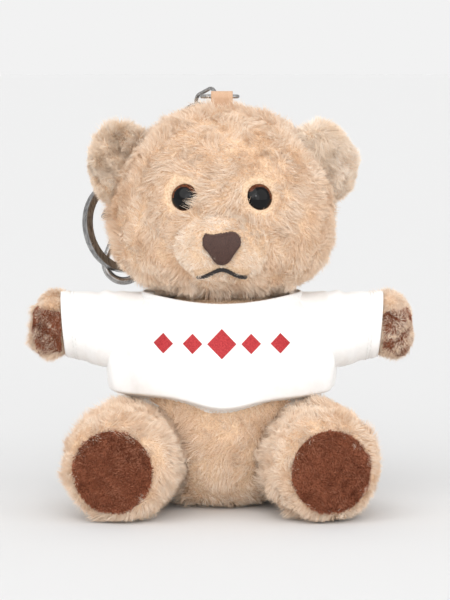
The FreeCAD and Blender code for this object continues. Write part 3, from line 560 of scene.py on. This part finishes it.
def fold(g, t, at, wide, low, high, slant, deep):
    """One soft fold running up the cloth at angle at, fading at both ends."""
    d = (g - at - slant * (t - 0.5) + math.pi) % (2 * math.pi) - math.pi
    along = np.clip((t - low) / 0.18, 0, 1) * np.clip((high - t) / 0.18, 0, 1)
    return deep * np.exp(-(d / wide) ** 2) * along * along * (3 - 2 * along)


def shirt_skin():
    g = np.linspace(0, 2 * math.pi, TURNS, endpoint=False)[None, :].repeat(ROWS, 0)
    t = levels_z[:, None].repeat(TURNS, 1)
    front = np.clip(-np.sin(g), 0, 1)
    drop = 3.0 * np.exp(-((np.cos(g) * 30) / 9.5) ** 2) * (front > 0)
    drop += 1.1 * np.exp(-((np.cos(g) * 30) / 14) ** 2) * (np.sin(g) > 0)
    low = SHIRT_LOW - drop + 0.35 * np.sin(3 * g + 1)
    high = SHIRT_HIGH - 1.9 * front ** 3
    z = low + t * (high - low)
    r = profile[:, None].repeat(TURNS, 1)
    out = np.zeros_like(r)
    marks = [(-0.62, .10, .45, .98, -.5, .9), (-0.95, .12, .35, .9, -.35, .6),
             (-2.52, .10, .45, .98, .5, .9), (-2.2, .12, .35, .9, .35, .6),
             (-1.25, .16, .0, .42, .1, .45), (-1.9, .16, .0, .45, -.1, .5),
             (-0.35, .12, .0, .6, .2, .7), (-2.8, .12, .0, .6, -.2, .7),
             (-1.57, .2, .0, .3, 0, .35), (0.5, .14, .3, .95, .4, .8), (2.6, .14, .3, .95, -.4, .8),
             (1.1, .18, .0, .6, -.2, .6), (2.0, .18, .0, .6, .2, .6), (1.57, .25, .3, .9, 0, .4)]
    for at, wide, lo_, hi_, slant, deep in marks:
        out += fold(g, t, at, wide, lo_, hi_, slant, deep)
        out -= 0.7 * fold(g, t, at + wide * 2.1, wide * 0.9, lo_, hi_, slant, deep)
    hem = np.clip((0.085 - t) / 0.012, 0, 1)
    out += 0.22 * hem - 0.16 * np.exp(-((t - 0.088) / 0.006) ** 2)
    out += 0.25 + 0.10 * np.sin(14 * g + 3 * t) * np.clip(0.3 - t, 0, 1)
    x = (r * WIDER + out) * np.cos(g)
    y = (r + out) * np.sin(g)
    return x, y, z


def sheet_faces(rows, cols, closed=True):
    f = []
    for i in range(rows - 1):
        for j in range(cols if closed else cols - 1):
            k = (j + 1) % cols
            f.append((i * cols + j, i * cols + k, (i + 1) * cols + k, (i + 1) * cols + j))
    return f


def cloth(name, x, y, z, body, mat, thick, stood_for=()):
    rows, cols = x.shape
    v = np.stack([x.ravel(), y.ravel(), z.ravel()], 1)
    obj = new_object(name, v, sheet_faces(rows, cols), mat)
    mod = obj.modifiers.new("cloth", "SOLIDIFY")
    mod.thickness = thick * MM
    mod.offset = -1
    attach(obj, body)
    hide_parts(*stood_for)
    return obj


sx, sy, sz = shirt_skin()
shirt = cloth("tee_body", sx, sy, sz, "body", cotton, 0.7, ("shirt_body", "shirt_hem"))


def loop_at(row):
    return np.stack([sx[row], sy[row], sz[row]], 1)


def stitches(name, loop, body, mat, along, gap, radius, lift):
    """A run of separate stitches lying on a closed loop."""
    closed = np.vstack([loop, loop[:1]])
    step = np.linalg.norm(np.diff(closed, axis=0), axis=1)
    at = np.concatenate([[0], np.cumsum(step)])
    total = at[-1]
    n = int(total / (along + gap))
    parts = []
    mid = loop.mean(0)
    for k in range(n):
        s0 = total * k / n
        q = np.linspace(s0, s0 + along, 4)
        p = np.stack([np.interp(q % total, at, closed[:, i]) for i in range(3)], 1)
        o = p - mid
        o[:, 2] = 0
        o /= np.linalg.norm(o, axis=1, keepdims=True)
        p = p + o * (lift * np.array([-0.2, 1, 1, -0.2]))[:, None]
        parts.append(tube(p, radius, 5))
    v, f = joined(parts)
    obj = new_object(name, v, f, mat)
    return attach(obj, body)


for k, row in enumerate((6, 8)):
    stitches(f"hem_stitch_{k}", loop_at(row), "body", thread_white, 1.15, 0.45, 0.09, 0.12)


def collar_band():
    """Ribbed neckband, folded over and lower at the front."""
    cols, around = 420, 14
    g = np.linspace(0, 2 * math.pi, cols, endpoint=False)
    front = np.clip(-np.sin(g), 0, 1) ** 3
    rx = sx[-1].max() - 0.15
    ry = sy[-1].max() - 0.15
    rib = 0.09 * np.cos(105 * g)
    rows = []
    for k in range(around):
        a = 2 * math.pi * k / around
        rad = 0.62 * math.cos(a)
        up = 1.12 * math.sin(a)
        rows.append(((rx + rad * (1 + rib)) * np.cos(g), (ry + rad * (1 + rib)) * np.sin(g),
                     SHIRT_HIGH - 0.35 + up - 1.9 * front))
    rows.append(rows[0])
    x, y, z = (np.array([r[i] for r in rows]) for i in range(3))
    v = np.stack([x.ravel(), y.ravel(), z.ravel()], 1)
    obj = new_object("tee_collar", v, sheet_faces(len(rows), cols), rib_knit)
    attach(obj, "body")
    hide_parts("shirt_collar")
    return obj


collar_band()


def sleeve_skin(g):
    """Sleeve from inside the shirt's side out to its cuff, fuller near the body."""
    rows, cols = 60, 160
    t = np.linspace(0, 1, rows)[:, None].repeat(cols, 1)
    a = np.linspace(0, 2 * math.pi, cols, endpoint=False)[None, :].repeat(rows, 0)
    x = 17.5 + t * 23.6
    x = x + 0.7 * np.sin(a) * t
    mid_z = 45.0 + (x - 18.5) * math.tan(math.radians(4.0)) - 0.5 * np.sin(np.pi * t)
    r = 9.9 - 1.5 * t + 0.5 * np.sin(np.pi * t)
    lower = np.clip(-np.sin(a), 0, 1)
    r = r + 0.9 * lower * (1 - t) * np.clip(t * 3, 0, 1)
    ring = 0.0
    for at, wide, deep, lean_, side_ in ((.30, .045, .55, .05, -2.2), (.42, .05, .6, -.06, -0.9),
                                         (.57, .05, .5, .07, -2.7), (.70, .05, .35, -.04, -1.2),
                                         (.50, .05, .5, .05, 1.2), (.36, .05, .5, -.05, 2.6)):
        d = t - at - lean_ * np.sin(a * 2)
        share = np.exp(-((((a - side_) + np.pi) % (2 * np.pi) - np.pi) / 1.1) ** 2)
        ring = ring + deep * np.exp(-(d / wide) ** 2) * share
        ring = ring - 0.6 * deep * np.exp(-((d - 2.1 * wide) / wide) ** 2) * share
    hem = np.clip((t - 0.915) / 0.01, 0, 1)
    r = r + ring + 0.18 * hem - 0.14 * np.exp(-((t - 0.905) / 0.008) ** 2)
    y = -0.15 + r * np.cos(a)
    z = mid_z + r * np.sin(a)
    if g > 0:
        return x, y, z
    return -x[:, ::-1], y[:, ::-1], z[:, ::-1]


for s, g in SIDES.items():
    x, y, z = sleeve_skin(g)
    obj = cloth(f"tee_sleeve_{s}", x, y, z, f"arm_{s}", cotton, 0.6, (f"shirt_sleeve_{s}",))
    for k, row in enumerate((53, 51)):
        loop = np.stack([x[row], y[row], z[row]], 1)
        mid = loop.mean(0)
        grown = mid + (loop - mid) * np.array([1, 1.012, 1.012])
        stitches(f"cuff_stitch_{s}_{k}", grown, f"arm_{s}", thread_white, 1.0, 0.42, 0.08, 0.05)


# ---- print ----------------------------------------------------------------
v = np.stack([sx.ravel(), sy.ravel(), sz.ravel()], 1)
tee_tree = BVHTree.FromPolygons([Vector(q) for q in v], sheet_faces(ROWS, TURNS))


PRINT_STEP = 7.4
PRINT_Z = 43.5
PRINT_SIZE = 2.5
PRINT_MIDDLE = 3.7
PRINT_LIFT = 0.09


def printed(cx, cz, half):
    """A filled lozenge of ink lying on the cloth, following its folds."""
    n = 14
    verts, faces, index = [], [], {}
    for i in range(-n, n + 1):
        for j in range(-n, n + 1):
            if abs(i) + abs(j) > n:
                continue
            x, z = cx + half * i / n, cz + half * j / n
            hit, nor = tee_tree.ray_cast(Vector((x, -60, z)), Vector((0, 1, 0)))[:2]
            index[i, j] = len(verts)
            verts.append(tuple(hit + nor * (PRINT_LIFT if nor.y < 0 else -PRINT_LIFT)))
    for i in range(-n, n):
        for j in range(-n, n):
            q = [(i, j), (i + 1, j), (i + 1, j + 1), (i, j + 1)]
            q = [index[k] for k in q if k in index]
            if len(q) > 2:
                faces.append(tuple(q))
    return verts, faces


parts = [printed(k * PRINT_STEP, PRINT_Z, PRINT_SIZE) for k in (-2, -1, 1, 2)]
parts.append(printed(0, PRINT_Z, PRINT_MIDDLE))
v, f = joined(parts)
motif = new_object("tee_print", v, f, ink)
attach(motif, "body")
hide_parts("shirt_print")


# ---- face -----------------------------------------------------------------
def eye(s, g):
    """Glass eye: black dome with the lens's own amber edge, on a rolled rim. The amber band is
    painted wider on the upper outer side, painted light where lamp light shows through the brown
    lens.
    """
    lo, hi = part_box(f"eye_lens_{s}")
    c = (lo + hi) / 2 / MM
    out = Vector((g * 0.30, -0.93, 0.17)).normalized()
    u = out.cross(Vector((0, 0, 1))).normalized()
    w = u.cross(out)
    rad, tall, rings, around = 3.55, 2.2, 26, 64
    base = Vector(c) - out * 1.2
    verts = []
    for i in range(rings + 1):
        a = math.pi / 2 * i / rings
        rr, h = rad * math.sin(a), tall * math.cos(a)
        for j in range(around):
            b = 2 * math.pi * j / around
            verts.append(tuple(base + u * rr * math.cos(b) + w * rr * math.sin(b) + out * h))
    for j in range(around):
        b = 2 * math.pi * j / around
        verts.append(tuple(base + (u * math.cos(b) + w * math.sin(b)) * rad * 0.96 - out * 0.8))
    faces = sheet_faces(rings + 2, around)
    obj = new_object(f"eye_glass_{s}", verts, faces, [eye_black, eye_brown])
    amber = int(rings * 0.62)
    for p in obj.data.polygons:
        c0 = obj.data.vertices[p.vertices[0]].co / MM - base
        # amber edge: the lens's own colour all round, painted wider on the upper outer side as
        # painted light from the lamps shining through the lens
        high = c0.dot(w) + 0.35 * g * c0.x
        if min(p.vertices) // around >= amber - 3 + (6 if high < 0.6 else 0):
            p.material_index = 1
    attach(obj, "head")
    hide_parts(f"eye_lens_{s}")
    return obj


for s, g in SIDES.items():
    eye(s, g)


def embroidered_nose():
    """Satin stitches laid side by side over the nose's padding."""
    tree = node_tree_mm("nose", "muzzle")
    lo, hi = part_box("nose")
    lo, hi = lo / MM, hi / MM
    only = node_tree_mm("nose")
    parts = []
    x = lo.x + 0.15
    while x < hi.x - 0.1:
        zs = [z for z in np.arange(lo.z - 0.2, hi.z + 0.2, 0.12)
              if only.ray_cast(Vector((x, -60, z)), Vector((0, 1, 0)))[0] is not None]
        if len(zs) > 3:
            q = np.linspace(zs[0] - 0.1, zs[-1] + 0.1, 14)
            pts = []
            for k, z in enumerate(q):
                hit = tree.ray_cast(Vector((x, -60, z)), Vector((0, 1, 0)))[0]
                end = min(k, len(q) - 1 - k)
                sunk = 0.25 if end == 0 else 0
                pts.append((x + 0.03 * math.sin(9 * z), hit.y - 0.12 + sunk, z))
            parts.append(tube(pts, 0.19, 6))
        x += 0.27
    v, f = joined(parts)
    obj = new_object("nose_satin", v, f, thread_dark)
    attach(obj, "head")
    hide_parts("nose")
    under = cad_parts["nose"].data.copy()
    pad = bpy.data.objects.new("nose_padding", under)
    under.materials.clear()
    under.materials.append(thread_dark)
    bpy.context.scene.collection.objects.link(pad)
    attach(pad, "head")


embroidered_nose()


def mouth_thread():
    """Two-ply thread following the stitched smile."""
    lo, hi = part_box("mouth_stitch")
    lo, hi = lo / MM, hi / MM
    tree = node_tree_mm("mouth_stitch")
    skin = node_tree_mm("muzzle", "head_skin")
    path = []
    for x in np.arange(lo.x + 0.2, hi.x - 0.15, 0.12):
        zs = [z for z in np.arange(lo.z - 0.1, hi.z + 0.1, 0.08)
              if tree.ray_cast(Vector((x, -60, z)), Vector((0, 1, 0)))[0] is not None]
        if zs:
            z = (zs[0] + zs[-1]) / 2
            hit = skin.ray_cast(Vector((x, -60, z)), Vector((0, 1, 0)))[0]
            path.append((x, hit.y - 0.3, z))
    path = np.array(path)
    for _ in range(3):
        path[1:-1] = (path[:-2] + path[1:-1] * 2 + path[2:]) / 4
    parts = []
    for ply in (0, math.pi):
        a = np.arange(len(path)) * 0.55 + ply
        p = path + 0.2 * np.stack([0 * a, np.cos(a), np.sin(a)], 1)
        parts.append(tube(p, 0.36, 8))
    v, f = joined(parts)
    obj = new_object("mouth_thread", v, f, thread_black)
    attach(obj, "head")
    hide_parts("mouth_stitch")


mouth_thread()


# ---- hanging tab and metalwork --------------------------------------------
def woven_tab():
    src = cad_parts["hang_tab"]
    mesh = src.data.copy()
    obj = bpy.data.objects.new("tab_ribbon", mesh)
    mesh.materials.clear()
    mesh.materials.append(ribbon)
    bpy.context.scene.collection.objects.link(obj)
    mod = obj.modifiers.new("even", "REMESH")
    mod.mode = "VOXEL"
    mod.voxel_size = 0.12 * MM
    obj.modifiers.new("soft", "SMOOTH").iterations = 2
    graph = bpy.context.evaluated_depsgraph_get()
    made = bpy.data.meshes.new_from_object(obj.evaluated_get(graph))
    obj.modifiers.clear()
    obj.data = made
    made.polygons.foreach_set("use_smooth", [True] * len(made.polygons))
    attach(obj, "head")
    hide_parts("hang_tab")


woven_tab()

inner = shader("hidden_plastic", srgb(225, 222, 216), 0.5)
FINISH = {"clasp_body": nickel, "clasp_gate": nickel, "gate_pin": steel, "gate_spring": steel,
          "swivel_eye": nickel, "split_ring": steel}
FINISH.update({f"chain_link_{k}": wire_metal for k in range(1, 6)})
FINISH.update({f"eye_{part}_{s}": inner for part in ("shank", "washer") for s in SIDES})
for name, mat in FINISH.items():
    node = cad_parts[name]
    node.data.materials.clear()
    node.data.materials.append(mat)


# ---- stage, light and camera ----------------------------------------------
def plane(name, half, z, mat):
    h = half
    mesh = bpy.data.meshes.new(name)
    mesh.from_pydata([(-h, -h, z), (h, -h, z), (h, h, z), (-h, h, z)], [], [(0, 1, 2, 3)])
    mesh.materials.append(mat)
    obj = bpy.data.objects.new(name, mesh)
    bpy.context.scene.collection.objects.link(obj)
    return obj


floor_mat = shader("floor_paper", srgb(232, 232, 232), 0.9, spec=0.1)
floor = plane("floor", 12.0, -0.0004, floor_mat)


def lamp(name, turn, rise, soft, power):
    """Wide soft light from a direction: turn degrees from the front, rise above the floor."""
    light = bpy.data.lights.new(name, "SUN")
    light.angle = math.radians(soft)
    light.energy = power
    obj = bpy.data.objects.new(name, light)
    a, e = math.radians(turn), math.radians(rise)
    way = Vector((math.sin(a) * math.cos(e), -math.cos(a) * math.cos(e), math.sin(e)))
    obj.location = way
    obj.rotation_mode = "QUATERNION"
    obj.rotation_quaternion = (-way).to_track_quat("-Z", "Y")
    bpy.context.scene.collection.objects.link(obj)
    return obj


lamp("key", -25, 38, 60, 1.2)
lamp("fill", 40, 20, 70, 0.9)
lamp("front", 0, 10, 50, 0.5)
glint = bpy.data.lights.new("glint", "AREA")
glint.size = 0.05
glint.energy = 0.12
spark = bpy.data.objects.new("glint", glint)
spark.location = (0.07, -0.5, 0.26)
spark.rotation_mode = "QUATERNION"
spark.rotation_quaternion = (Vector((0, 0, 0.08)) - spark.location).to_track_quat("-Z", "Y")
bpy.context.scene.collection.objects.link(spark)

world = bpy.data.worlds.new("studio")
bpy.context.scene.world = world
world.use_nodes = True
nodes, links = world.node_tree.nodes, world.node_tree.links
nodes.clear()
out = nodes.new("ShaderNodeOutputWorld")
seen = nodes.new("ShaderNodeBackground")
seen.inputs["Color"].default_value = srgb(242, 242, 242)
lit = nodes.new("ShaderNodeBackground")
lit.inputs["Color"].default_value = (1, 1, 1, 1)
lit.inputs["Strength"].default_value = 0.72
path = nodes.new("ShaderNodeLightPath")
pick = nodes.new("ShaderNodeMixShader")
links.new(path.outputs["Is Camera Ray"], pick.inputs["Fac"])
links.new(lit.outputs["Background"], pick.inputs[1])
links.new(seen.outputs["Background"], pick.inputs[2])
links.new(pick.outputs["Shader"], out.inputs["Surface"])

AIM = Vector((0.8, 0, 52.7)) * MM
RISE = math.radians(5)
FAR = 0.75
cam_data = bpy.data.cameras.new("camera")
cam_data.sensor_width = 36
cam_data.lens = 36 * FAR / 0.156
cam = bpy.data.objects.new("camera", cam_data)
cam.location = AIM + Vector((0, -math.cos(RISE), math.sin(RISE))) * FAR
cam.rotation_mode = "QUATERNION"
cam.rotation_quaternion = (AIM - cam.location).to_track_quat("-Z", "Y")
cam_data.clip_start = 0.05
cam_data.clip_end = 60
bpy.context.scene.collection.objects.link(cam)
bpy.context.scene.camera = cam
bpy.context.scene.view_settings.view_transform = "Standard"
